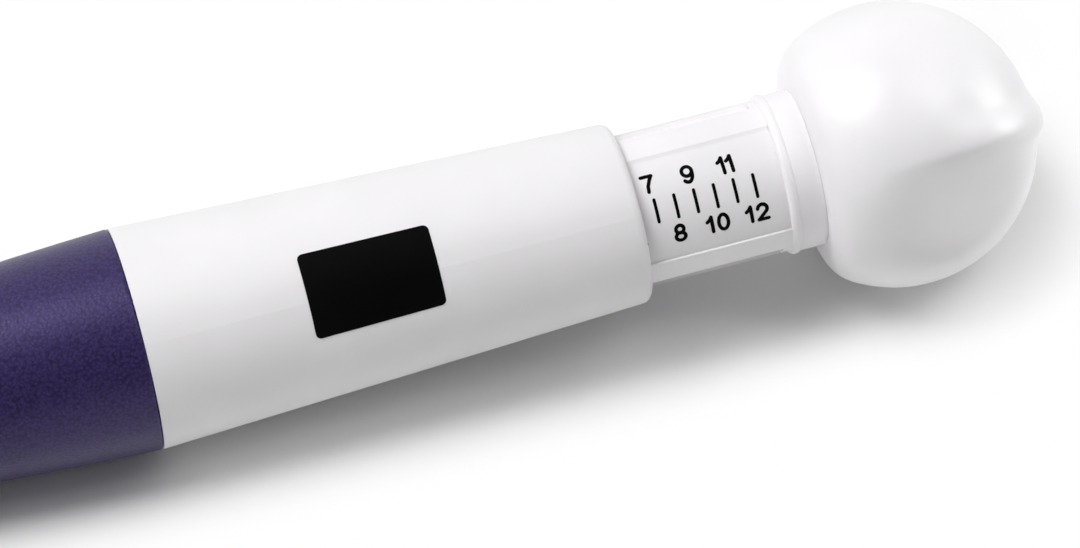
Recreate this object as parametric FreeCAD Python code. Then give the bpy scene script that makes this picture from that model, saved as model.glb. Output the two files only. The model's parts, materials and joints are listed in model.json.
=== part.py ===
import FreeCAD, Part

import math
import os

# Punch needle with an adjustable loop depth. A soft grip and a tapered barrel form the
# handle. A shaft with a printed scale slides in the barrel and carries the hollow needle
# out of the nose. The ball knob on the shaft turns a toothed lock into racks in the barrel.
#
# Stations are millimetres along the tool axis: 0 is the barrel's mouth, positive runs
# towards the knob and negative towards the needle. Angles round the axis start at the
# scale's middle and turn right-handed about the axis, so 90 is the scale's lower side.

V = FreeCAD.Vector
ORIGIN = V(0, 0, 0)
AXIS = V(1, 0, 0)

# Clearances
slide_play = 0.15        # shaft in the barrel's bore and keys in their grooves
running_play = 0.05      # spindle in its bearing
guide_play = 0.2         # needle carrier in its guides
loose_play = 0.3         # pieces that only pass each other
part_gap = 0.03          # between the collar and the knob
washer_play = 0.05       # washer off the collar, clip off the bearing

# Scale: one division for each loop depth
scale_pitch = 2.0
settings_below = 5       # settings 8 to 12, with the shaft further in than as modelled
settings_above = 6       # settings 6 to 1, with the shaft further out

# Barrel
barrel_length = 50.0
barrel_front_radius = 11.05
barrel_taper = 2.05      # the barrel is this much thinner at its mouth than at the grip
barrel_rim_wall = 1.25
barrel_rim_round = 0.9
mouth_chamfer = 0.3
spigot_wall = 1.05       # core's spigot inside the barrel's front end
spigot_length = 5.0

# Sliding shaft
tube_wall = 2.0
tube_front = -19.0
tube_rear = 14.5
tube_front_round = 0.4
panel_half_angle = 43.5
panel_depth = 0.6
panel_front = -14.0
plate_thickness = 0.35
key_angle = 78.0
key_half_angle = 9.0
key_depth = 0.7
key_start = 1.5          # key ribs begin this far inside the mouth
key_length = 5.0
groove_end_margin = 0.85 # key grooves stop this far before the collar

# Collar with the spindle's bearing
collar_step = 0.45       # the collar stands this proud of the shaft
collar_length = 3.52
collar_lip = 0.8         # raised lip on the collar's front end
collar_lip_round = 0.45
collar_lip_slope = 0.2   # behind the lip the collar drops this much over the same length
bearing_length = 4.0

# Ball knob
ball_radius = 14.15
shoulder_to_centre = 9.15
shoulder_round = 3.8
scoop_depth = 1.4
scoop_from_pole = 76.0   # a finger scoop's middle, measured from the rear pole
scoop_turn = 27.0        # the same middle, round the axis from the rib's side of the ball
scoop_half_length = 44.0
scoop_half_width = 31.0  # half sizes of a scoop, as angles seen from the ball's centre
rib_height = 0.8
rib_scoop_flank = 2.0    # width of a rib's steep flank, on its scoop's side,
rib_plain_flank = 3.4    # and of its gentle flank on the other side
rib_offset = 0.9         # the two turning ribs pass the yarn hole on opposite sides
rib_start = 1.0          # a rib rises between these distances behind the ball's centre
rib_full = 9.0
yarn_hole_radius = 1.6
yarn_hole_flare = 0.5
washer_pocket_radius = 6.2
knob_columns = 48        # points round the ball, crowded towards the two ribs
knob_crowding = 0.6
knob_round_rows = 3
knob_ball_rows = 20

# Lock spindle, head and clip
spindle_radius = 2.6
spindle_bore = 1.85
spindle_seat_depth = 15.0
seat_end_room = 0.4      # the seat is this much deeper than the spindle reaches
spindle_flat = 2.15      # half the width across the two driving flats
flat_length = 8.0
clip_groove_depth = 0.4
clip_room = 1.4          # clip inside the shaft's bore
clip_thickness = 0.8
clip_gap_half_angle = 28.0
washer_radius = 5.9
washer_thickness = 0.8
spring_thickness = 0.3
spring_rise = 0.45
head_setback = 2.0       # lock head's middle, behind the barrel's front end
head_teeth = 3
head_half_angle = 28.0
tooth_root_half = 0.6
tooth_tip_half = 0.3
head_end_margin = 1.0    # from the last tooth's middle to the head's end face
lock_turn = 90.0         # the knob's travel from released to locked

# Racks in the handle
rack_groove_wall = 0.5   # liner left outside a groove
rack_mouth_half = 0.75
rack_floor_half = 0.45
channel_wall = 0.45      # liner left outside a channel
channel_half_angle = 35.0
stop_play = 0.3          # lock head to the channel's ends
rack_rear_wall = 1.2
rack_front_guide = 3.7

# Needle carrier, collet and needle
carrier_step_in = 1.6    # the carrier's cage is this much smaller than the shaft
cage_wall = 1.0
carrier_plug_length = 10.0
carrier_front_wall = 2.5
window_play = 0.5
window_play_angle = 4.0
carrier_tube_radius = 4.0
yarn_channel_radius = 2.0
collet_radius = 3.3
collet_reach = 6.2       # collet's front end, ahead of the grip
collet_length = 8.0
collet_slots = 4
collet_slot_width = 0.6
nut_lip = 0.8
nut_lip_bore = 1.7
hub_radius = 2.4
hub_length = 8.0
hub_funnel = 2.0
needle_radius = 1.1
needle_bore = 0.8
needle_reach = 22.0      # needle's tip, ahead of the nose
needle_seat = 6.0        # how far the needle reaches into its hub
needle_bevel = 4.2
needle_eye_radius = 0.6
needle_eye_back = 3.4    # eye to the tip

# Grip and nose
grip_wall = 1.8
grip_length = 45.0
grip_swell_length = 13.5 # the grip's rear stretch bulges, the rest curves in
grip_swell_drop = 0.31   # how much thinner than at the barrel: halfway down that stretch,
grip_neck_drop = 0.7     # at its end,
grip_waist_drop = 1.75   # halfway along the front stretch
grip_front_drop = 2.2    # and at the grip's front end
grip_edge_round = 0.35
grip_front_round = 0.8
nose_spigot_length = 6.0
nose_spigot_step = 2.45  # the core's end is this much smaller than the grip's front end
nose_root_step = 0.35    # the nose is this much smaller than the grip's front end
nose_shoulder_wall = 1.2
nose_tip_radius = 3.2
nose_cone_length = 17.0
nose_tip_length = 6.0
nose_cavity_margin = 0.6 # the cavity ends this far past the nose's shoulder
nose_hole_radius = 1.4
nose_root_round = 0.5
nose_tip_round = 0.8

# How the tool lies: scale turned to face up and forward, ball and barrel edge on the ground
scale_roll = 39.0

# Worked-out sizes
barrel_rim_radius = barrel_front_radius - barrel_taper
bore_radius = barrel_rim_radius - barrel_rim_wall
spigot_radius = bore_radius + spigot_wall
tube_radius = bore_radius - slide_play
tube_bore = tube_radius - tube_wall
collar_radius = tube_radius + collar_step
carrier_radius = tube_radius - carrier_step_in
rack_radius = carrier_radius + guide_play
rack_groove_radius = bore_radius - rack_groove_wall
channel_radius = bore_radius - channel_wall
tooth_root_radius = rack_radius - loose_play
tooth_tip_radius = rack_groove_radius - slide_play
clip_groove_radius = spindle_radius - clip_groove_depth
clip_radius = tube_bore - clip_room
travel_in = settings_below * scale_pitch
travel_out = settings_above * scale_pitch
collar_rear = tube_rear + collar_length
knob_front = collar_rear + part_gap
ball_centre = knob_front + shoulder_to_centre
bearing_radius = spindle_radius + running_play
bearing_front = tube_rear - bearing_length
clip_rear = bearing_front - washer_play
washer_front = collar_rear + washer_play
spring_front = washer_front + washer_thickness
pocket_floor = spring_front + spring_thickness + spring_rise
spindle_rear = knob_front + spindle_seat_depth
groove_end = tube_rear - groove_end_margin
grip_front = -barrel_length - grip_length
grip_front_radius = barrel_front_radius - grip_front_drop
head_middle = head_setback - barrel_length
head_half_length = (head_teeth - 1) / 2 * scale_pitch + head_end_margin
head_front = head_middle - head_half_length
head_rear = head_middle + head_half_length
channel_front = head_front - travel_in - stop_play
channel_rear = head_rear + travel_out + stop_play
rack_front = channel_front - rack_front_guide
rack_rear = channel_rear + rack_rear_wall
window_front = head_front - window_play
window_rear = head_rear + window_play
carrier_step = window_front - carrier_front_wall
carrier_tube_bore = carrier_tube_radius + guide_play
spindle_passage = spindle_radius + loose_play
head_chamber = carrier_radius - cage_wall
head_hub_radius = head_chamber - loose_play
collet_front = grip_front - collet_reach
core_front = grip_front - nose_spigot_length
nose_shoulder = grip_front - nose_cone_length
nose_tip = nose_shoulder - nose_tip_length
nose_cavity_end = nose_shoulder - nose_cavity_margin
nose_spigot_radius = grip_front_radius - nose_spigot_step
nose_root_radius = grip_front_radius - nose_root_step
nose_shoulder_radius = carrier_tube_bore + nose_shoulder_wall
needle_tip = nose_tip - needle_reach


def turned(profile):
    """Solid turned about the tool axis from (station, radius) corners."""
    corners = [V(station, 0, radius) for station, radius in profile]
    face = Part.Face(Part.makePolygon(corners + corners[:1]))
    return face.revolve(ORIGIN, AXIS, 360)


def ring(front, rear, inner, outer):
    """Plain tube between two stations."""
    return turned([(front, inner), (rear, inner), (rear, outer), (front, outer)])


def rod(front, rear, radius):
    """Plain round bar between two stations."""
    return Part.makeCylinder(radius, rear - front, V(front, 0, 0), AXIS)


def swept(profile, middle, half_angle):
    """Part of a turned shape: a profile swept through an arc round the axis."""
    corners = [V(station, 0, radius) for station, radius in profile]
    face = Part.Face(Part.makePolygon(corners + corners[:1]))
    face.rotate(ORIGIN, AXIS, middle - half_angle)
    return face.revolve(ORIGIN, AXIS, 2 * half_angle)


def sector(front, rear, inner, outer, middle, half_angle):
    """Part of a plain tube."""
    profile = [(front, inner), (rear, inner), (rear, outer), (front, outer)]
    return swept(profile, middle, half_angle)


def rim(shape, station, radius):
    """Circular edges of a shape at one station and radius."""
    found = []
    for edge in shape.Edges:
        curve = edge.Curve
        if isinstance(curve, Part.Circle):
            if abs(curve.Radius - radius) < 0.01 and abs(curve.Center.x - station) < 0.01:
                found.append(edge)
    return found


def keyed_rod(front, rear):
    """The spindle's end form: a round bar with two driving flats."""
    width = 2 * spindle_radius
    block = Part.makeBox(rear - front, width, 2 * spindle_flat, V(front, -spindle_radius, -spindle_flat))
    return rod(front, rear, spindle_radius).common(block)


def tooth_profile(station, root_radius, tip_radius, root_half, tip_half):
    """Tapered tooth or groove section at a station."""
    return [
        (station - root_half, root_radius),
        (station - tip_half, tip_radius),
        (station + tip_half, tip_radius),
        (station + root_half, root_radius),
    ]


def make_barrel():
    """Tapered white barrel with a plain bore and two key ribs inside its mouth."""
    front = -barrel_length
    shell = turned([
        (front, spigot_radius),
        (front, barrel_front_radius),
        (0, barrel_rim_radius),
        (0, bore_radius + mouth_chamfer),
        (-mouth_chamfer, bore_radius),
        (front + spigot_length, bore_radius),
        (front + spigot_length, spigot_radius),
    ])
    shell = shell.makeFillet(barrel_rim_round, rim(shell, 0, barrel_rim_radius))
    rib_inner = tube_radius - key_depth + slide_play
    side_play = math.degrees(slide_play / tube_radius)
    for side in (-1, 1):
        rib = sector(-key_start - key_length, -key_start, rib_inner, bore_radius + slide_play,
                     side * key_angle, key_half_angle - side_play)
        shell = shell.fuse(rib)
    return shell.removeSplitter()


def make_racks():
    """Two liner halves: a rack in the middle of each, an open channel along each joint."""
    liner = ring(rack_front, rack_rear, rack_radius, bore_radius)
    first = head_middle - (head_teeth - 1) / 2 * scale_pitch - travel_in
    count = head_teeth + settings_below + settings_above
    cuts = []
    for index in range(count):
        profile = tooth_profile(first + index * scale_pitch, rack_radius, rack_groove_radius,
                                rack_mouth_half, rack_floor_half)
        low, high = profile[0][0], profile[3][0]
        profile = [(low, rack_radius - loose_play)] + profile + [(high, rack_radius - loose_play)]
        cuts.append(turned(profile))
    for middle in (90, 270):
        cuts.append(sector(channel_front, channel_rear, rack_radius - loose_play, channel_radius,
                           middle, channel_half_angle))
    liner = liner.cut(cuts)
    length = rack_rear - rack_front
    halves = []
    for low in (0, -bore_radius):
        block = Part.makeBox(length, 2 * bore_radius, bore_radius, V(rack_front, -bore_radius, low))
        halves.append(liner.common(block).removeSplitter())
    return halves


def grip_outline(inset):
    """Lengthwise outline of the grip as two arcs, moved in by a wall."""
    rear = -barrel_length
    swell_end = rear - grip_swell_length
    marks = [
        V(rear, 0, barrel_front_radius - inset),
        V((rear + swell_end) / 2, 0, barrel_front_radius - grip_swell_drop - inset),
        V(swell_end, 0, barrel_front_radius - grip_neck_drop - inset),
        V((swell_end + grip_front) / 2, 0, barrel_front_radius - grip_waist_drop - inset),
        V(grip_front, 0, grip_front_radius - inset),
    ]
    return marks, [Part.Arc(*marks[:3]).toShape(), Part.Arc(*marks[2:]).toShape()]


def make_grip_core():
    """Stiff core under the grip: socket for the racks, channel for the needle carrier."""
    rear = -barrel_length
    marks, outline = grip_outline(grip_wall)
    rest = Part.makePolygon([
        marks[-1],
        V(grip_front, 0, nose_spigot_radius),
        V(core_front, 0, nose_spigot_radius),
        V(core_front, 0, carrier_tube_bore),
        V(rack_front, 0, carrier_tube_bore),
        V(rack_front, 0, bore_radius),
        V(rear + spigot_length, 0, bore_radius),
        V(rear + spigot_length, 0, spigot_radius),
        V(rear, 0, spigot_radius),
        marks[0],
    ])
    face = Part.Face(Part.Wire(outline + rest.Edges))
    return face.revolve(ORIGIN, AXIS, 360)


def make_grip_sleeve():
    """Soft grip moulded over the core."""
    outer_marks, outer = grip_outline(0)
    inner_marks, inner = grip_outline(grip_wall)
    front_end = Part.makeLine(outer_marks[-1], inner_marks[-1])
    rear_end = Part.makeLine(inner_marks[0], outer_marks[0])
    face = Part.Face(Part.Wire(outer + [front_end] + inner[::-1] + [rear_end]))
    sleeve = face.revolve(ORIGIN, AXIS, 360)
    sleeve = sleeve.makeFillet(grip_edge_round, rim(sleeve, -barrel_length, barrel_front_radius))
    return sleeve.makeFillet(grip_front_round, rim(sleeve, grip_front, grip_front_radius))


def make_nose():
    """Tapered nose screwed over the core's end, with a clear hole for the needle."""
    nose = turned([
        (grip_front, nose_spigot_radius),
        (grip_front, nose_root_radius),
        (nose_shoulder, nose_shoulder_radius),
        (nose_tip, nose_tip_radius),
        (nose_tip, nose_hole_radius),
        (nose_cavity_end, nose_hole_radius),
        (nose_cavity_end, carrier_tube_bore),
        (core_front, carrier_tube_bore),
        (core_front, nose_spigot_radius),
    ])
    nose = nose.makeFillet(nose_root_round, rim(nose, grip_front, nose_root_radius))
    return nose.makeFillet(nose_tip_round, rim(nose, nose_tip, nose_tip_radius))


def make_tube():
    """Sliding shaft: a sunk panel for the scale and a key groove down each side."""
    tube = ring(tube_front, tube_rear, tube_bore, tube_radius)
    tube = tube.makeFillet(tube_front_round, rim(tube, tube_front, tube_radius))
    outside = tube_radius + loose_play
    cuts = [sector(panel_front, tube_rear, tube_radius - panel_depth, outside, 0, panel_half_angle)]
    for side in (-1, 1):
        cuts.append(sector(tube_front - loose_play, groove_end, tube_radius - key_depth, outside,
                           side * key_angle, key_half_angle))
    return tube.cut(cuts)


def make_scale_plate():
    """Thin curved strip laid in the panel, which carries the printed scale."""
    floor = tube_radius - panel_depth
    return sector(panel_front, tube_rear, floor, floor + plate_thickness, 0, panel_half_angle)


def make_collar():
    """End collar pressed into the shaft, with a raised lip and the spindle's bearing."""
    lip_end = tube_rear + collar_lip
    waist_radius = collar_radius - collar_lip_slope
    collar = turned([
        (bearing_front, bearing_radius),
        (collar_rear, bearing_radius),
        (collar_rear, waist_radius),
        (lip_end + collar_lip_slope, waist_radius),
        (lip_end, collar_radius),
        (tube_rear, collar_radius),
        (tube_rear, tube_bore),
        (bearing_front, tube_bore),
    ])
    collar = collar.makeFillet(collar_lip_round, rim(collar, lip_end, collar_radius))
    return collar.makeFillet(collar_lip_round, rim(collar, tube_rear, collar_radius))


def smooth_step(value, low, high):
    """Rises smoothly from 0 at low to 1 at high."""
    share = min(1.0, max(0.0, (value - low) / (high - low)))
    return share * share * (3 - 2 * share)


def scoop_share(direction, side):
    """How far a direction lies from a scoop's middle: 0 there, 1 on the scoop's rim."""
    polar = math.radians(scoop_from_pole)
    turn = math.radians(scoop_turn)
    spoke = V(0, -side * math.sin(turn), side * math.cos(turn))
    middle = AXIS * math.cos(polar) + spoke * math.sin(polar)
    if direction.dot(middle) <= 0:
        return 1.0
    lengthwise = AXIS * math.sin(polar) - spoke * math.cos(polar)
    sideways = middle.cross(lengthwise)
    return min(1.0, math.hypot(direction.dot(lengthwise) / math.sin(math.radians(scoop_half_length)),
                               direction.dot(sideways) / math.sin(math.radians(scoop_half_width))))


def knob_relief(direction):
    """Height of the knob's surface above the plain ball along a direction from its centre."""
    rise = smooth_step(ball_radius * direction.x, rib_start, rib_full)
    ribs = 0.0
    scoops = 0.0
    for side in (1, -1):
        past_crest = -side * ball_radius * direction.y - rib_offset
        across = past_crest / (rib_scoop_flank if past_crest > 0 else rib_plain_flank)
        over_pole = smooth_step(side * ball_radius * direction.z, -rib_scoop_flank, rib_scoop_flank)
        if abs(across) < 1:
            ribs = max(ribs, (1 - across ** 2) ** 2 * over_pole)
        cut = smooth_step(past_crest, 0, rib_scoop_flank)
        scoops += cut * (1 - scoop_share(direction, side) ** 2) ** 2
    return rib_height * rise * ribs - scoop_depth * scoops


def knob_ring(radius, polar, ring_station, ring_radius, turns, height=None):
    """Points round the knob, one for each turn, through one point of its lengthwise profile."""
    points = []
    for turn in turns:
        spoke = V(0, -math.sin(turn), math.cos(turn))
        point = V(ring_station + radius * math.cos(polar), 0, 0)
        point += spoke * (ring_radius + radius * math.sin(polar))
        direction = V(point)
        direction.normalize()
        rise = knob_relief(direction) if height is None else height
        points.append(V(ball_centre, 0, 0) + point + direction * rise)
    return points


def knob_surface():
    """Smooth surface through rings of points: front rounding, then the ball to its pole."""
    turns = []
    for index in range(knob_columns):
        even = 2 * math.pi * index / knob_columns + math.pi / 2
        turns.append(even - knob_crowding / 2 * math.sin(2 * even))
    round_station = shoulder_round - shoulder_to_centre
    round_reach = ball_radius - shoulder_round
    round_centre = math.sqrt(round_reach ** 2 - round_station ** 2)
    meeting = math.acos(round_station / round_reach)
    pole = math.asin(yarn_hole_radius / 2 / ball_radius)
    rings = []
    lengths = []
    for index in range(knob_round_rows):
        polar = math.pi + (meeting - math.pi) * index / knob_round_rows
        rings.append(knob_ring(shoulder_round, polar, round_station, round_centre, turns))
        lengths.append(shoulder_round * (meeting - polar))
    for index in range(knob_ball_rows):
        polar = meeting + (pole - meeting) * index / knob_ball_rows
        rings.append(knob_ring(ball_radius, polar, 0, 0, turns))
        lengths.append(ball_radius * (meeting - polar))
    rings.append(knob_ring(ball_radius, pole, 0, 0, turns, rib_height))
    lengths.append(ball_radius * (meeting - pole))
    ring_poles = []
    around = Part.BSplineCurve()
    for points in rings:
        around.interpolate(Points=points, PeriodicFlag=True, Parameters=turns + [turns[0] + 2 * math.pi])
        ring_poles.append(around.getPoles())
    column_poles = []
    along = Part.BSplineCurve()
    for column in zip(*ring_poles):
        along.interpolate(Points=list(column), Parameters=lengths)
        column_poles.append(along.getPoles())
    surface = Part.BSplineSurface()
    surface.buildFromPolesMultsKnots(
        column_poles, around.getMultiplicities(), along.getMultiplicities(),
        around.getKnots(), along.getKnots(), True, False, 3, 3)
    return surface.toShape()


def make_knob():
    """Ball knob with finger dishes and two turning ribs, drilled for the yarn."""
    side = knob_surface()
    caps = [Part.Face(Part.Wire(edge)) for edge in side.Edges if edge.isClosed()]
    skin = Part.makeCompound([side] + caps)
    skin.sewShape()
    knob = Part.Solid(skin.Shells[0])
    pole = ball_centre + ball_radius
    flare = yarn_hole_flare + rib_height + 1
    mouth = turned([
        (pole - yarn_hole_flare, 0),
        (pole - yarn_hole_flare, yarn_hole_radius),
        (pole - yarn_hole_flare + flare, yarn_hole_radius + flare),
        (pole - yarn_hole_flare + flare, 0),
    ])
    return knob.cut([
        mouth,
        rod(spindle_rear, pole, yarn_hole_radius),
        rod(knob_front - 1, spindle_rear - flat_length, spindle_radius),
        keyed_rod(spindle_rear - flat_length - 1, spindle_rear + seat_end_room),
        rod(knob_front - 1, pocket_floor, washer_pocket_radius),
    ])


def make_spindle():
    """Hollow spindle from the knob to the lock head; the yarn runs through it."""
    front = head_front
    flats = 2 * spindle_radius
    spindle = ring(front, spindle_rear, spindle_bore, spindle_radius)
    cuts = [ring(clip_rear - clip_thickness, clip_rear, clip_groove_radius, spindle_radius + 1)]
    for low in (front, spindle_rear - flat_length):
        length = flat_length if low > front else head_rear - head_front
        for height in (spindle_flat, -spindle_flat - flats):
            cuts.append(Part.makeBox(length, flats, flats, V(low, -spindle_radius, height)))
    return spindle.cut(cuts)


def make_lock_head():
    """Hub with two toothed sectors that turn out of the channels into the racks."""
    head = ring(head_front, head_rear, spindle_bore, head_hub_radius)
    head = head.cut(keyed_rod(head_front, head_rear))
    pieces = []
    for middle in (90, 270):
        pieces.append(sector(head_front, head_rear, head_hub_radius - loose_play, tooth_root_radius,
                             middle, head_half_angle))
        for index in range(head_teeth):
            station = head_middle + (index - (head_teeth - 1) / 2) * scale_pitch
            profile = tooth_profile(station, tooth_root_radius, tooth_tip_radius,
                                    tooth_root_half, tooth_tip_half)
            base = tooth_root_radius - loose_play
            profile = [(station - tooth_root_half, base)] + profile + [(station + tooth_root_half, base)]
            pieces.append(swept(profile, middle, head_half_angle))
    return head.fuse(pieces).removeSplitter()


def make_clip():
    """Open ring in the spindle's groove that keeps the knob on the collar."""
    front = clip_rear - clip_thickness
    return sector(front, clip_rear, clip_groove_radius, clip_radius, 0, 180 - clip_gap_half_angle)


def make_friction_washer():
    """Flat washer that gives the knob its drag."""
    return ring(washer_front, spring_front, spindle_passage, washer_radius)


def make_spring_washer():
    """Dished washer behind the flat one."""
    rear = spring_front + spring_rise
    return turned([
        (spring_front, washer_radius),
        (spring_front + spring_thickness, washer_radius),
        (rear + spring_thickness, spindle_passage),
        (rear, spindle_passage),
    ])


def make_carrier():
    """Needle carrier: plug in the shaft, window cage round the lock head, slotted collet."""
    plug_rear = tube_front + carrier_plug_length
    collet_rear = collet_front + collet_length
    carrier = turned([
        (plug_rear, spindle_passage),
        (plug_rear, tube_bore),
        (tube_front, tube_bore),
        (tube_front, carrier_radius),
        (carrier_step, carrier_radius),
        (carrier_step, carrier_tube_radius),
        (collet_rear, carrier_tube_radius),
        (collet_rear, collet_radius),
        (collet_front, collet_radius),
        (collet_front, hub_radius),
        (collet_front + hub_length, hub_radius),
        (collet_front + hub_length, yarn_channel_radius),
        (window_front, yarn_channel_radius),
        (window_front, head_chamber),
        (window_rear, head_chamber),
        (window_rear, spindle_passage),
    ])
    sweep_half = (lock_turn + 2 * head_half_angle) / 2 + window_play_angle
    cuts = []
    for middle in (90, 270):
        cuts.append(sector(window_front, window_rear, head_chamber - loose_play,
                           carrier_radius + loose_play, middle + lock_turn / 2, sweep_half))
    for index in range(collet_slots):
        slot = Part.makeBox(collet_length - 1, collet_radius + 1, collet_slot_width,
                            V(collet_front, 0, -collet_slot_width / 2))
        slot.rotate(ORIGIN, AXIS, (index + 0.5) * 360 / collet_slots)
        cuts.append(slot)
    return carrier.cut(cuts)


def make_collet_nut():
    """Nut that closes the collet on the needle's hub."""
    lip = collet_front - nut_lip
    return turned([
        (lip, nut_lip_bore),
        (collet_front, nut_lip_bore),
        (collet_front, collet_radius),
        (collet_front + collet_length, collet_radius),
        (collet_front + collet_length, carrier_tube_radius),
        (lip + nut_lip / 2, carrier_tube_radius),
        (lip, carrier_tube_radius - nut_lip / 2),
    ])


def make_needle_hub():
    """Needle's hub, with a funnel that leads the yarn into the needle."""
    rear = collet_front + hub_length
    return turned([
        (collet_front, needle_radius),
        (collet_front, hub_radius),
        (rear, hub_radius),
        (rear, yarn_channel_radius),
        (rear - hub_funnel, needle_bore),
        (collet_front + needle_seat, needle_bore),
        (collet_front + needle_seat, needle_radius),
    ])


def make_needle():
    """Hollow needle with a bevelled mouth and an eye behind the point."""
    needle = ring(needle_tip, collet_front + needle_seat, needle_bore, needle_radius)
    corners = [
        V(needle_tip, 0, -needle_radius),
        V(needle_tip + needle_bevel, 0, needle_radius),
        V(needle_tip + needle_bevel, 0, 2 * needle_radius),
        V(needle_tip - needle_radius, 0, 2 * needle_radius),
        V(needle_tip - needle_radius, 0, -needle_radius),
    ]
    face = Part.Face(Part.makePolygon(corners + corners[:1]))
    face.translate(V(0, -2 * needle_radius, 0))
    waste = face.extrude(V(0, 4 * needle_radius, 0))
    eye = Part.makeCylinder(needle_eye_radius, 2 * needle_radius,
                            V(needle_tip + needle_eye_back, 0, -2 * needle_radius), V(0, 0, 1))
    return needle.cut([waste, eye])


def resting_tilt():
    """Angle of the axis when the ball and the barrel's front edge share one ground plane."""
    span = ball_centre + barrel_length
    reach = math.hypot(span, barrel_front_radius)
    return math.asin(ball_radius / reach) - math.atan2(barrel_front_radius, span)


def main():
    rack_upper, rack_lower = make_racks()
    parts = {
        "barrel_shell": make_barrel(),
        "rack_half_upper": rack_upper,
        "rack_half_lower": rack_lower,
        "grip_core": make_grip_core(),
        "grip_sleeve": make_grip_sleeve(),
        "nose_cone": make_nose(),
        "scale_tube": make_tube(),
        "scale_plate": make_scale_plate(),
        "end_collar": make_collar(),
        "needle_carrier": make_carrier(),
        "collet_nut": make_collet_nut(),
        "needle_hub": make_needle_hub(),
        "needle_tube": make_needle(),
        "knob_ball": make_knob(),
        "lock_spindle": make_spindle(),
        "lock_head": make_lock_head(),
        "retaining_clip": make_clip(),
        "friction_washer": make_friction_washer(),
        "spring_washer": make_spring_washer(),
    }
    tilt = resting_tilt()
    for shape in parts.values():
        shape.rotate(ORIGIN, AXIS, scale_roll)
        shape.rotate(ORIGIN, V(0, 1, 0), -math.degrees(tilt))
    box = Part.makeCompound(list(parts.values())).optimalBoundingBox(False, False)
    shift = V(-box.Center.x, -box.Center.y, -box.ZMin)
    os.makedirs("parts", exist_ok=True)
    for name, shape in parts.items():
        shape.translate(shift)
        shape.exportStep(os.path.join("parts", name + ".step"))
        print(name, len(shape.Solids), shape.isValid(), round(shape.Volume, 2))
    print("tilt", round(math.degrees(tilt), 4), "shift", [round(value, 4) for value in shift])


main()
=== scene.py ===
import json
import math

import bmesh
import bpy
from mathutils import Matrix, Vector


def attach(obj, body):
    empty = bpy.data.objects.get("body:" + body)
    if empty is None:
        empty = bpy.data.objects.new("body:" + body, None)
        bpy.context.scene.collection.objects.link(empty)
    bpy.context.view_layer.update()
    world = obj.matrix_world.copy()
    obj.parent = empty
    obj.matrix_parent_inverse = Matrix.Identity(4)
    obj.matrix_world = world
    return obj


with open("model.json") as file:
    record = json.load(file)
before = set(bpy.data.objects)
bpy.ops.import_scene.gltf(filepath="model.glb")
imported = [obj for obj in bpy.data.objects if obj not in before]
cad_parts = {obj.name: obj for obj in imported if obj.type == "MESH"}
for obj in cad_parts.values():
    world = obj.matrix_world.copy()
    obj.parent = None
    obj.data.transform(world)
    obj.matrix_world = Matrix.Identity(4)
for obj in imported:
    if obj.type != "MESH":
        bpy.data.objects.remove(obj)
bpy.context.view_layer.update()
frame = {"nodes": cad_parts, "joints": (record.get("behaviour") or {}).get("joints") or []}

MM = 0.001

# The tool's own frame: stations run along its axis from the barrel's mouth to the knob, and
# angles run round the axis from the scale's middle line, towards the viewer's lower side.
BALL_STATION = 27.2
SCALE_ROLL = 39.0
knob_hinge = next(joint for joint in frame["joints"] if joint["name"] == "knob_twist")
AXIS = Vector(knob_hinge["axis"]).normalized()
SIDE = Vector((0.0, 1.0, 0.0))
RISE = AXIS.cross(SIDE).normalized()
ORIGIN = Vector(knob_hinge["pos_m"]) - AXIS * BALL_STATION * MM


def place(station, angle, radius):
    """World point at a station, angle in degrees and radius in millimetres."""
    turn = math.radians(angle + SCALE_ROLL)
    across = SIDE * (-radius * math.sin(turn)) + RISE * (radius * math.cos(turn))
    return ORIGIN + (AXIS * station + across) * MM


def add_object(name, data):
    """New object in the scene for a mesh, camera or light."""
    item = bpy.data.objects.new(name, data)
    bpy.context.scene.collection.objects.link(item)
    return item


class Tree:
    """A node tree built line by line, where a value is a number, a colour or a node's output."""

    def __init__(self, tree):
        self.nodes = tree.nodes
        self.links = tree.links

    def feed(self, socket, value):
        if isinstance(value, bpy.types.NodeSocket):
            self.links.new(value, socket)
        else:
            socket.default_value = value

    def add(self, kind, values=None, **settings):
        """New node with its settings, and with values for some of its inputs."""
        node = self.nodes.new(kind)
        for name, setting in settings.items():
            setattr(node, name, setting)
        for key, value in (values or {}).items():
            self.feed(node.inputs[key], value)
        return node

    def math(self, operation, *values):
        node = self.add("ShaderNodeMath", operation=operation)
        for socket, value in zip(node.inputs, values):
            self.feed(socket, value)
        return node.outputs["Value"]

    def weighted(self, first, first_weight, second, second_weight):
        """Sum of two values, each times its weight."""
        return self.math("ADD", self.math("MULTIPLY", first, first_weight),
                         self.math("MULTIPLY", second, second_weight))

    def mapped(self, value, low, high, start=0.3, end=0.7, interpolation="LINEAR"):
        """Spreads a value's range over low to high and stops there; most noise is in 0.3 to 0.7."""
        inputs = {"Value": value, "From Min": start, "From Max": end, "To Min": low, "To Max": high}
        node = self.add("ShaderNodeMapRange", inputs, interpolation_type=interpolation)
        return node.outputs["Result"]

    def mixed_shader(self, share, first, second):
        node = self.add("ShaderNodeMixShader", {"Fac": share, 1: first, 2: second})
        return node.outputs["Shader"]

    def split_coordinates(self, kind):
        """The X, Y and Z outputs of one kind of texture coordinates."""
        coordinates = self.add("ShaderNodeTexCoord").outputs[kind]
        return self.add("ShaderNodeSeparateXYZ", {"Vector": coordinates}).outputs

    def seen_rays(self):
        """1 for camera, glossy and transmission rays, otherwise 0."""
        rays = self.add("ShaderNodeLightPath").outputs
        seen = self.math("MAXIMUM", rays["Is Camera Ray"], rays["Is Glossy Ray"])
        return self.math("MAXIMUM", seen, rays["Is Transmission Ray"])


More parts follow.
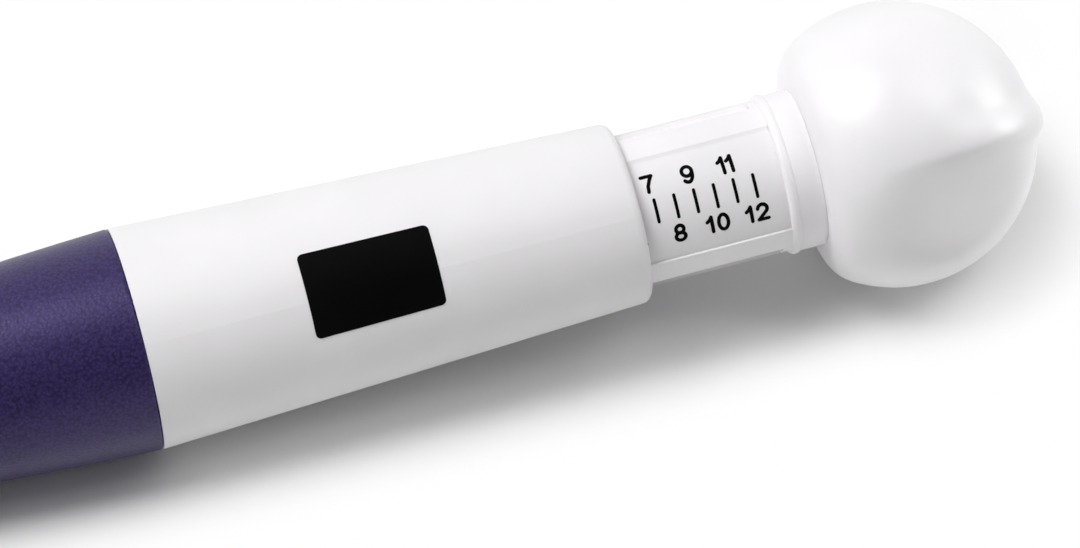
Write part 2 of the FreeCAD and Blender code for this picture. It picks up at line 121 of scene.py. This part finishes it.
class Surface(Tree):
    """A new material, built on its Principled shader. Its sizes are in millimetres."""

    def __init__(self, name, roughness, metallic=0.0, specular=0.5):
        self.material = bpy.data.materials.new(name)
        self.material.use_nodes = True
        super().__init__(self.material.node_tree)
        self.shader = self.nodes["Principled BSDF"].inputs
        self.feed(self.shader["Roughness"], roughness)
        self.feed(self.shader["Metallic"], metallic)
        self.feed(self.shader["Specular IOR Level"], specular)
        self.coordinates = self.add("ShaderNodeTexCoord").outputs["Object"]

    def noise(self, size, detail=2.0, stretch=None):
        """Noise with blotches of about one size, drawn out by a scale for each axis."""
        source = self.coordinates
        if stretch:
            mapping = self.add("ShaderNodeMapping", {"Vector": source, "Scale": stretch})
            source = mapping.outputs["Vector"]
        inputs = {"Vector": source, "Scale": 1.0 / (size * MM), "Detail": detail}
        return self.add("ShaderNodeTexNoise", inputs).outputs["Fac"]

    def cells(self, size, smoothness):
        inputs = {"Vector": self.coordinates, "Scale": 1.0 / (size * MM), "Smoothness": smoothness}
        node = self.add("ShaderNodeTexVoronoi", inputs, feature="SMOOTH_F1")
        return node.outputs["Distance"]

    def colours(self, share, dark, light):
        """Base colour between two colours."""
        node = self.add("ShaderNodeMix", {"Factor": share}, data_type="RGBA")
        first, second = [socket for socket in node.inputs if socket.type == "RGBA"]
        self.feed(first, (*dark, 1.0))
        self.feed(second, (*light, 1.0))
        result = next(socket for socket in node.outputs if socket.type == "RGBA")
        self.feed(self.shader["Base Color"], result)

    def roughness(self, value):
        self.feed(self.shader["Roughness"], value)

    def bump(self, height, depth, strength=1.0):
        inputs = {"Height": height, "Distance": depth * MM, "Strength": strength}
        self.feed(self.shader["Normal"], self.add("ShaderNodeBump", inputs).outputs["Normal"])


def shade(colour, factor):
    return tuple(min(1.0, channel * factor) for channel in colour)


FINE_DETAIL = 3.0

# Moulded plastic: sizes of its colour clouds and dull patches, and how far its roughness wanders
MOULDED_CLOUD = 9.0
MOULDED_PATCH = 2.5
MOULDED_WANDER = 0.04


def moulded(name, colour, roughness, grain=0.25, depth=0.004, spread=0.02, specular=0.5):
    """Moulded plastic: faint cloudy colour, a roughness that wanders and a very fine skin."""
    surface = Surface(name, roughness, specular=specular)
    surface.colours(surface.mapped(surface.noise(MOULDED_CLOUD), 0.0, 1.0),
                    shade(colour, 1 - spread), shade(colour, 1 + spread))
    surface.roughness(surface.mapped(surface.noise(MOULDED_PATCH, FINE_DETAIL),
                                     roughness - MOULDED_WANDER, roughness + MOULDED_WANDER))
    surface.bump(surface.noise(grain, FINE_DETAIL), depth)
    return surface.material


# Soft grip skin: rounded cells and a finer grit make its relief, which also sets its colour
# The relief's colour is painted shade in the cell valleys and painted light on the crests.
GRIP_CELL = 0.32
GRIP_CELL_SMOOTHNESS = 0.6
GRIP_CELL_WEIGHT = -0.7
GRIP_GRIT = 0.14
GRIP_GRIT_WEIGHT = 0.5
GRIP_RELIEF_RANGE = (-0.3, 0.2)
GRIP_RELIEF_WEIGHT = 0.75
GRIP_CLOUD = 6.0
GRIP_CLOUD_WEIGHT = 0.25
GRIP_ROUGHNESS = 0.38
GRIP_ROUGHNESS_RANGE = (0.32, 0.50)
GRIP_SPECULAR = 0.54
GRIP_SPECULAR_TINT = (0.62, 0.52, 1.0, 1.0)
GRIP_DEPTH = 0.026
GRIP_STRENGTH = 0.9


def leathery(name, valley, crest):
    """Soft grip skin: small rounded cells with painted shade in their valleys and a dull violet
    gloss.
    """
    surface = Surface(name, GRIP_ROUGHNESS, specular=GRIP_SPECULAR)
    surface.feed(surface.shader["Specular Tint"], GRIP_SPECULAR_TINT)
    grit = surface.noise(GRIP_GRIT)
    relief = surface.weighted(surface.cells(GRIP_CELL, GRIP_CELL_SMOOTHNESS), GRIP_CELL_WEIGHT,
                              grit, GRIP_GRIT_WEIGHT)
    tone = surface.weighted(surface.mapped(relief, 0.0, 1.0, *GRIP_RELIEF_RANGE),
                            GRIP_RELIEF_WEIGHT, surface.noise(GRIP_CLOUD), GRIP_CLOUD_WEIGHT)
    # Painted shade in the cell valleys, painted light on the crests
    surface.colours(tone, valley, crest)
    surface.roughness(surface.mapped(grit, *GRIP_ROUGHNESS_RANGE))
    surface.bump(relief, GRIP_DEPTH, GRIP_STRENGTH)
    return surface.material


# Worked metal: its stains and lines, and how far the lines take its roughness down and up
METAL_STAIN = 1.5
METAL_SHADES = (0.92, 1.05)
METAL_LINE = 0.3
METAL_WANDER = (0.05, 0.07)
METAL_DEPTH = 0.002


def metal(name, colour, roughness, stretch):
    """Drawn or turned metal: fine lines, laid by a stretch of noise, and a slight stain."""
    surface = Surface(name, roughness, metallic=1.0)
    surface.colours(surface.mapped(surface.noise(METAL_STAIN), 0.0, 1.0),
                    shade(colour, METAL_SHADES[0]), shade(colour, METAL_SHADES[1]))
    lines = surface.noise(METAL_LINE, FINE_DETAIL, stretch)
    surface.roughness(surface.mapped(lines, roughness - METAL_WANDER[0],
                                     roughness + METAL_WANDER[1]))
    surface.bump(lines, METAL_DEPTH)
    return surface.material


WHITE = (0.85, 0.835, 0.85)
BRIGHT_WHITE = shade(WHITE, 1.07)
# Grip colours: painted shade for its cell valleys, painted light for its crests
VIOLET_SHADED_VALLEY = (0.009, 0.0055, 0.034)
VIOLET_LIT_CREST = (0.044, 0.030, 0.116)
BLACK = (0.0022, 0.0022, 0.0024)
ALUMINIUM = (0.72, 0.72, 0.74)
TURNED = (8.0, 0.4, 0.4)   # lines round the tool
DRAWN = (0.05, 1.0, 1.0)   # lines along the tool

soft_violet = leathery("soft_violet_grip", VIOLET_SHADED_VALLEY, VIOLET_LIT_CREST)
white_satin = moulded("white_satin", WHITE, roughness=0.42)
white_shaft = moulded("white_shaft", BRIGHT_WHITE, roughness=0.36, grain=0.2, depth=0.003)
white_knob = moulded("white_knob", BRIGHT_WHITE, roughness=0.36, grain=0.3, depth=0.003)
strip_film = moulded("strip_film", shade(WHITE, 1.03), roughness=0.36, grain=0.12,
                     depth=0.0012, spread=0.01)
black_print = moulded("black_print", BLACK, roughness=0.60, grain=0.08, depth=0.002,
                      spread=0.2, specular=0.03)
black_plate = moulded("black_plate", BLACK, roughness=0.55, grain=0.15, depth=0.002,
                      spread=0.2, specular=0.03)
core_violet = moulded("core_violet", (0.13, 0.11, 0.20), roughness=0.5, grain=0.3,
                      depth=0.01, spread=0.05)
nylon = moulded("natural_nylon", (0.66, 0.62, 0.52), roughness=0.5, grain=0.3,
                depth=0.008, spread=0.04)
grey_plastic = moulded("grey_plastic", (0.55, 0.55, 0.55), roughness=0.45, grain=0.25,
                       depth=0.006, spread=0.03)
hub_violet = moulded("hub_violet", (0.10, 0.08, 0.20), roughness=0.4, grain=0.2,
                     depth=0.005, spread=0.05)
dark_washer = moulded("dark_washer", (0.03, 0.03, 0.03), roughness=0.6, grain=0.2,
                      depth=0.01, spread=0.15)
turned_aluminium = metal("turned_aluminium", ALUMINIUM, 0.34, TURNED)
drawn_aluminium = metal("drawn_aluminium", ALUMINIUM, 0.34, DRAWN)
needle_steel = metal("needle_steel", (0.62, 0.62, 0.63), 0.18, DRAWN)
spring_steel = metal("spring_steel", (0.42, 0.42, 0.44), 0.36, TURNED)

NODE_MATERIALS = {
    "barrel_shell": white_satin,
    "nose_cone": white_satin,
    "grip_sleeve": soft_violet,
    "grip_core": core_violet,
    "rack_half_upper": nylon,
    "rack_half_lower": nylon,
    "scale_tube": white_shaft,
    "scale_plate": strip_film,
    "end_collar": white_shaft,
    "needle_carrier": grey_plastic,
    "collet_nut": turned_aluminium,
    "needle_hub": hub_violet,
    "needle_tube": needle_steel,
    "knob_ball": white_knob,
    "lock_spindle": drawn_aluminium,
    "lock_head": nylon,
    "retaining_clip": spring_steel,
    "friction_washer": dark_washer,
    "spring_washer": spring_steel,
}
for node_name, material in NODE_MATERIALS.items():
    mesh = frame["nodes"][node_name].data
    mesh.materials.clear()
    mesh.materials.append(material)


def finish_piece(name, bm, material, body):
    """Turns a mesh in progress into a piece that rides on a body."""
    bmesh.ops.recalc_face_normals(bm, faces=bm.faces)
    mesh = bpy.data.meshes.new(name)
    bm.to_mesh(mesh)
    bm.free()
    mesh.materials.append(material)
    piece = add_object(name, mesh)
    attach(piece, body)


def bridge(bm, first, second):
    """Faces between two rings of the same count of points."""
    for i in range(len(first)):
        j = (i + 1) % len(first)
        bm.faces.new((first[i], first[j], second[j], second[i]))


# Printed scale, in millimetres and degrees
BASE_DROP = 0.04       # how far print and plate reach into the surface below them
PRINT_PROUD = 0.02
STRIP_RADIUS = 7.35
GRID_STEP = 0.055      # grid that the strokes' outlines are cut from
GRID_SPARE = 3         # cells added for the grid's margins and for rounding
KEY_DIGITS = 5         # decimals in which two outline points have to agree to be one
STROKE_WIDTH = 0.36
DIGIT_HEIGHT = 1.95
DIGIT_ADVANCE = 0.65   # from the stem of a 1 to the next digit's left side
ONES_ADVANCE = 0.87    # between the stems of an 11
DIGIT_ANGLE = 21.4     # from the ticks' middle line to each row of numbers
LABEL_SHIFT = {1: -0.16, 2: -0.35}   # from a tick to its number, by the count of digits
SETTINGS = range(1, 13)
REST_SETTING = 7
REST_TICK = 1.66       # station of the tick for setting 7
PITCH = 2.0
TICK_LENGTH = 2.52
TICK_WIDTH = 0.32
TICK_REACH = (TICK_LENGTH - TICK_WIDTH) / 2

ARC_STEPS = 28
FAR = 1e9
TINY = 1e-12


def arc(x, y, reach_x, reach_y, start, end):
    """Points along part of an ellipse, from one angle to another in degrees."""
    turns = [math.radians(start + (end - start) * step / ARC_STEPS)
             for step in range(ARC_STEPS + 1)]
    return [(x + reach_x * math.cos(turn), y + reach_y * math.sin(turn)) for turn in turns]


# Middle lines of the digits' strokes, in units of the digit's height
NINE = [
    arc(0.31, 0.69, 0.31, 0.31, 0, 360),
    arc(0.31, 0.60, 0.31, 0.60, 12, -90) + arc(0.31, 0.24, 0.28, 0.24, -90, -150),
]
DIGITS = {
    "0": [arc(0.30, 0.5, 0.30, 0.5, 0, 360)],
    "1": [[(-0.30, 0.71), (-0.14, 0.82), (-0.02, 1.0), (0.0, 0.0)]],
    "2": [arc(0.30, 0.70, 0.30, 0.30, 170, -32) + [(0.0, 0.0), (0.62, 0.0)]],
    "3": [arc(0.28, 0.75, 0.25, 0.25, 155, -85), arc(0.28, 0.27, 0.30, 0.27, 88, -155)],
    "4": [[(0.46, 0.0), (0.46, 1.0), (0.0, 0.28), (0.66, 0.28)]],
    "5": [[(0.56, 1.0), (0.14, 1.0), (0.06, 0.50)] + arc(0.29, 0.32, 0.31, 0.32, 128, -155)],
    "6": [[(0.62 - x, 1.0 - y) for x, y in stroke] for stroke in NINE],
    "7": [[(0.0, 1.0), (0.66, 1.0), (0.47, 0.70), (0.32, 0.36), (0.27, 0.0)]],
    "8": [arc(0.31, 0.75, 0.25, 0.25, 0, 360), arc(0.31, 0.26, 0.30, 0.26, 0, 360)],
    "9": NINE,
}


def stroke_distance(x, y, strokes):
    """Distance from a point to the nearest stroke."""
    nearest = FAR
    for stroke in strokes:
        for (ax, ay), (bx, by) in zip(stroke, stroke[1:]):
            dx, dy = bx - ax, by - ay
            share = ((x - ax) * dx + (y - ay) * dy) / (dx * dx + dy * dy + TINY)
            share = min(1.0, max(0.0, share))
            nearest = min(nearest, math.hypot(x - ax - share * dx, y - ay - share * dy))
    return nearest


def stroke_mesh(strokes, width):
    """Flat mesh of round-ended strokes, cut from a fine grid along their outline."""
    reach = width / 2
    xs = [x for stroke in strokes for x, _ in stroke]
    ys = [y for stroke in strokes for _, y in stroke]
    columns = int((max(xs) - min(xs) + width) / GRID_STEP) + GRID_SPARE
    rows = int((max(ys) - min(ys) + width) / GRID_STEP) + GRID_SPARE
    left = min(xs) - reach - GRID_STEP
    bottom = min(ys) - reach - GRID_STEP
    corners = {}
    for i in range(columns + 1):
        for j in range(rows + 1):
            x, y = left + i * GRID_STEP, bottom + j * GRID_STEP
            corners[i, j] = (x, y, reach - stroke_distance(x, y, strokes))
    bm = bmesh.new()
    made = {}

    def vertex(x, y):
        key = (round(x, KEY_DIGITS), round(y, KEY_DIGITS))
        if key not in made:
            made[key] = bm.verts.new((x, y, 0))
        return made[key]

    for i in range(columns):
        for j in range(rows):
            cell = [corners[i, j], corners[i + 1, j], corners[i + 1, j + 1], corners[i, j + 1]]
            loop = []
            for here, after in zip(cell, cell[1:] + cell[:1]):
                if here[2] > 0:
                    loop.append(vertex(here[0], here[1]))
                if (here[2] > 0) != (after[2] > 0):
                    share = here[2] / (here[2] - after[2])
                    loop.append(vertex(here[0] + (after[0] - here[0]) * share,
                                       here[1] + (after[1] - here[1]) * share))
            loop = [vert for index, vert in enumerate(loop) if vert is not loop[index - 1]]
            if len(loop) > 2:
                bm.faces.new(loop)
    return bm


def wrap_on_strip(bm, station, angle):
    """Bends a flat mesh (x along the axis, y towards smaller angles) to a thin slab of print."""
    lower = bm.verts[:]
    raised = bmesh.ops.extrude_face_region(bm, geom=bm.faces[:])["geom"]
    upper = {item for item in raised if isinstance(item, bmesh.types.BMVert)}
    for vert in lower + list(upper):
        height = PRINT_PROUD if vert in upper else -BASE_DROP
        vert_angle = angle - math.degrees(vert.co.y / STRIP_RADIUS)
        vert.co = place(station + vert.co.x, vert_angle, STRIP_RADIUS + height)


def label_strokes(label):
    """Strokes of a number in millimetres, centred on its own outline."""
    tall = DIGIT_HEIGHT - STROKE_WIDTH
    strokes = []
    start = 0.0
    for index, digit in enumerate(label):
        strokes += [[(start + x * tall, y * tall) for x, y in stroke] for stroke in DIGITS[digit]]
        start += ONES_ADVANCE if label[index:] == "11" else DIGIT_ADVANCE
    xs = [x for stroke in strokes for x, _ in stroke]
    middle = (min(xs) + max(xs)) / 2
    return [[(x - middle, y - tall / 2) for x, y in stroke] for stroke in strokes]


for setting in SETTINGS:
    tick_station = REST_TICK + (setting - REST_SETTING) * PITCH
    tick = stroke_mesh([[(0.0, -TICK_REACH), (0.0, TICK_REACH)]], TICK_WIDTH)
    wrap_on_strip(tick, tick_station, 0.0)
    finish_piece("scale_tick_%02d" % setting, tick, black_print, "carriage")
    label = str(setting)
    digits = stroke_mesh(label_strokes(label), STROKE_WIDTH)
    row_angle = -DIGIT_ANGLE if setting % 2 else DIGIT_ANGLE
    wrap_on_strip(digits, tick_station + LABEL_SHIFT[len(label)], row_angle)
    finish_piece("scale_number_%02d" % setting, digits, black_print, "carriage")


# The slope along the panel's upper edge: its outline as radius and angle, and its end stations
BEAD_OUTLINE = [(7.30, -43.9), (7.59, -43.9), (7.59, -43.4), (7.52, -42.5), (7.44, -41.4),
                (7.385, -40.4), (7.355, -39.2), (7.30, -39.0)]
BEAD_ENDS = (-13.95, 14.45)


def panel_bead():
    """Moulded slope along the panel's upper edge, from the shaft's skin down to the strip."""
    bm = bmesh.new()
    rings = [[bm.verts.new(place(station, angle, radius)) for radius, angle in BEAD_OUTLINE]
             for station in BEAD_ENDS]
    bridge(bm, *rings)
    for ring in rings:
        bm.faces.new(ring)
    return bm


finish_piece("panel_bead", panel_bead(), white_shaft, "carriage")

BARREL_LENGTH = 50.0
BARREL_FRONT_RADIUS = 11.05
BARREL_MOUTH_RADIUS = 9.0

# The plate: its middle, half its length and width, its corners' radius and its height
PLATE_STATION = -27.15
PLATE_ANGLE = -2.9
PLATE_HALF = (6.55, 4.18)
PLATE_CORNER = 0.55
PLATE_PROUD = 0.06
PLATE_EDGE = ((0.0, 0.03), (0.012, 0.01), (0.035, 0.0))   # inset, and depth below the top
PLATE_INSET = PLATE_EDGE[-1][0]
UNDERSIDE_SHARES = (0.2, 0.4, 0.6, 0.8, 1.0)   # of the outline, for the rings of its mesh
TOP_SHARES = (0.93, 0.8, 0.65, 0.5, 0.35, 0.2, 0.08)
CORNER_STEPS = 6
SIDE_STEPS = 16


def barrel_radius(station):
    share = -station / BARREL_LENGTH
    return BARREL_MOUTH_RADIUS + (BARREL_FRONT_RADIUS - BARREL_MOUTH_RADIUS) * share


def rounded_rectangle(half_x, half_y, corner):
    """Outline points of a rounded rectangle, anticlockwise, evenly spread on its sides."""
    corners = []
    for quarter, (sign_x, sign_y) in enumerate(((1, 1), (-1, 1), (-1, -1), (1, -1))):
        x, y = sign_x * (half_x - corner), sign_y * (half_y - corner)
        turns = [math.radians(90 * (quarter + step / CORNER_STEPS))
                 for step in range(CORNER_STEPS + 1)]
        corners.append([(x + corner * math.cos(turn), y + corner * math.sin(turn))
                        for turn in turns])
    points = []
    for here, after in zip(corners, corners[1:] + corners[:1]):
        points += here
        start, end = here[-1], after[0]
        for step in range(1, SIDE_STEPS):
            share = step / SIDE_STEPS
            points.append((start[0] + (end[0] - start[0]) * share,
                           start[1] + (end[1] - start[1]) * share))
    return points


def blank_plate():
    """Plain plate in line with the scale, with softly rounded edges, wrapped on the barrel."""
    bm = bmesh.new()

    def point(x, y, height):
        station = PLATE_STATION + x
        angle = PLATE_ANGLE - math.degrees(y / barrel_radius(PLATE_STATION))
        return bm.verts.new(place(station, angle, barrel_radius(station) + height))

    def ring(inset, height, share=1.0):
        outline = rounded_rectangle(PLATE_HALF[0] - inset, PLATE_HALF[1] - inset,
                                    PLATE_CORNER - inset)
        return [point(x * share, y * share, height) for x, y in outline]

    # From the middle of the underside, round the edge, to the middle of the top
    rings = [ring(0.0, -BASE_DROP, share) for share in UNDERSIDE_SHARES]
    rings += [ring(inset, PLATE_PROUD - depth) for inset, depth in PLATE_EDGE]
    rings += [ring(PLATE_INSET, PLATE_PROUD, share) for share in TOP_SHARES]
    for first, second in zip(rings, rings[1:]):
        bridge(bm, first, second)
    for inner, height in ((rings[0], -BASE_DROP), (rings[-1], PLATE_PROUD)):
        middle = point(0.0, 0.0, height)
        for here, after in zip(inner, inner[1:] + inner[:1]):
            bm.faces.new((here, after, middle))
    for face in bm.faces:
        face.smooth = True
    return bm


finish_piece("blank_plate", blank_plate(), black_plate, "handle")

# The floor turns to plain white outside a rounded rectangle round the tool and its shadow; from
# FADE_START on, that white glow is painted light over the outer part of the shadow.
# The reach is 1 on that outline, and the floor turns from FADE_START to FADE_END of it.
FLOOR_REACH = 3.0
FLOOR_COLOUR = (0.92, 0.92, 0.92, 1.0)
FADE_CENTRE = (0.034, 0.0343)
FADE_RIGHT = 0.067
FADE_LEFT = 0.150
FADE_ACROSS = 0.0531
FADE_CORNERS = 6.0
FADE_START = 0.818
FADE_END = 1.0


def floor_material():
    material = bpy.data.materials.new("floor_paper")
    material.use_nodes = True
    tree = Tree(material.node_tree)
    tree.nodes.clear()
    paper = tree.add("ShaderNodeBsdfDiffuse", {"Color": FLOOR_COLOUR}).outputs["BSDF"]
    plain = tree.add("ShaderNodeEmission", {"Strength": 1.0}).outputs["Emission"]
    spot = tree.split_coordinates("Object")
    along = tree.math("SUBTRACT", spot["X"], FADE_CENTRE[0])
    along = tree.math("MAXIMUM", tree.math("DIVIDE", along, FADE_RIGHT),
                      tree.math("DIVIDE", along, -FADE_LEFT))
    across = tree.math("SUBTRACT", spot["Y"], FADE_CENTRE[1])
    across = tree.math("ABSOLUTE", tree.math("DIVIDE", across, FADE_ACROSS))
    reach = tree.math("ADD", tree.math("POWER", along, FADE_CORNERS),
                      tree.math("POWER", across, FADE_CORNERS))
    reach = tree.math("POWER", reach, 1.0 / FADE_CORNERS)
    # From FADE_START on, the glowing white lightens the shadow's outer part: painted light
    fade = tree.mapped(reach, 0.0, 1.0, FADE_START, FADE_END, "SMOOTHSTEP")
    seen_floor = tree.mixed_shader(fade, paper, plain)
    shader = tree.mixed_shader(tree.seen_rays(), paper, seen_floor)
    tree.add("ShaderNodeOutputMaterial", {"Surface": shader})
    return material


floor_mesh = bpy.data.meshes.new("floor")
floor_mesh.from_pydata([(-FLOOR_REACH, -FLOOR_REACH, 0), (FLOOR_REACH, -FLOOR_REACH, 0),
                        (FLOOR_REACH, FLOOR_REACH, 0), (-FLOOR_REACH, FLOOR_REACH, 0)],
                       [], [(0, 1, 2, 3)])
floor = add_object("floor", floor_mesh)
floor_mesh.materials.append(floor_material())

# To the camera the room is white, and as a light it is even and dim. Reflections see it darken
# overhead and in front, as a direction's Z plus ROOM_LEAN times its Y rises through ROOM_RANGE.
AMBIENT = 0.03
ROOM_LEAN = -0.5
ROOM_RANGE = (0.20, 0.80)
ROOM_DARK = 0.10


def build_world():
    world = bpy.data.worlds.new("studio")
    bpy.context.scene.world = world
    world.use_nodes = True
    tree = Tree(world.node_tree)
    background = tree.nodes["Background"].inputs
    tree.feed(background["Color"], (1.0, 1.0, 1.0, 1.0))
    direction = tree.split_coordinates("Generated")
    overhead = tree.math("MULTIPLY_ADD", direction["Y"], ROOM_LEAN, direction["Z"])
    reflected = tree.mapped(overhead, 1.0, ROOM_DARK, *ROOM_RANGE, "SMOOTHSTEP")
    camera_ray = tree.add("ShaderNodeLightPath").outputs["Is Camera Ray"]
    seen = tree.math("MAXIMUM", camera_ray, reflected)
    tree.feed(background["Strength"], tree.mapped(tree.seen_rays(), AMBIENT, seen, 0.0, 1.0))


build_world()

# The camera looks at a point beside the axis, AIM_RIGHT and AIM_UP millimetres off in the picture
CAMERA_AZIMUTH = math.radians(-16.0)
CAMERA_ELEVATION = math.radians(54.57)
CAMERA_DISTANCE = 0.7
CAMERA_LENS = 238.49
CAMERA_SENSOR = 36.0
CAMERA_CLIP = (0.01, 20.0)
AIM_STATION = -10.0
AIM_RIGHT = 0.931
AIM_UP = -3.595

# Directions of the view: right and up in the picture, back to the camera, and away on the floor
RIGHT = Vector((math.cos(CAMERA_AZIMUTH), math.sin(CAMERA_AZIMUTH), 0.0))
FLOOR_AWAY = Vector((-math.sin(CAMERA_AZIMUTH), math.cos(CAMERA_AZIMUTH), 0.0))
BACK = Vector((math.sin(CAMERA_AZIMUTH) * math.cos(CAMERA_ELEVATION),
               -math.cos(CAMERA_AZIMUTH) * math.cos(CAMERA_ELEVATION),
               math.sin(CAMERA_ELEVATION)))
UP = BACK.cross(RIGHT)
AIM = ORIGIN + AXIS * AIM_STATION * MM + (RIGHT * AIM_RIGHT + UP * AIM_UP) * MM


def look_matrix(right, up, back, eye):
    matrix = Matrix((right, up, back)).transposed().to_4x4()
    matrix.translation = eye
    return matrix


camera_data = bpy.data.cameras.new("camera")
camera_data.lens = CAMERA_LENS
camera_data.sensor_width = CAMERA_SENSOR
camera_data.clip_start, camera_data.clip_end = CAMERA_CLIP
camera = add_object("camera", camera_data)
camera.matrix_world = look_matrix(RIGHT, UP, BACK, AIM + BACK * CAMERA_DISTANCE)
bpy.context.scene.camera = camera

# Square area lights that face the aim: metres to the right, away and up from it, size and watts
LIGHTS = [
    ("ceiling_left", -0.55, 0.1, 1.0, 0.6, 10.2),
    ("ceiling_right", 0.55, 0.1, 1.0, 0.6, 3.8),
    ("window_left", -1.0, 0.1, 0.45, 0.5, 1.2),
    ("window_right", 1.0, 0.35, 0.2, 0.5, 4.6),
    ("front_fill", -0.6, -0.6, 0.6, 0.5, 1.1),
]
for light_name, sideways, away, above, size, power in LIGHTS:
    light_data = bpy.data.lights.new(light_name, "AREA")
    light_data.shape = "SQUARE"
    light_data.size = size
    light_data.energy = power
    offset = RIGHT * sideways + FLOOR_AWAY * away + Vector((0, 0, above))
    towards = offset.normalized()
    side = Vector((0, 0, 1)).cross(towards).normalized()
    light = add_object(light_name, light_data)
    light.matrix_world = look_matrix(side, towards.cross(side), towards, AIM + offset)

bpy.context.scene.view_settings.view_transform = "Standard"
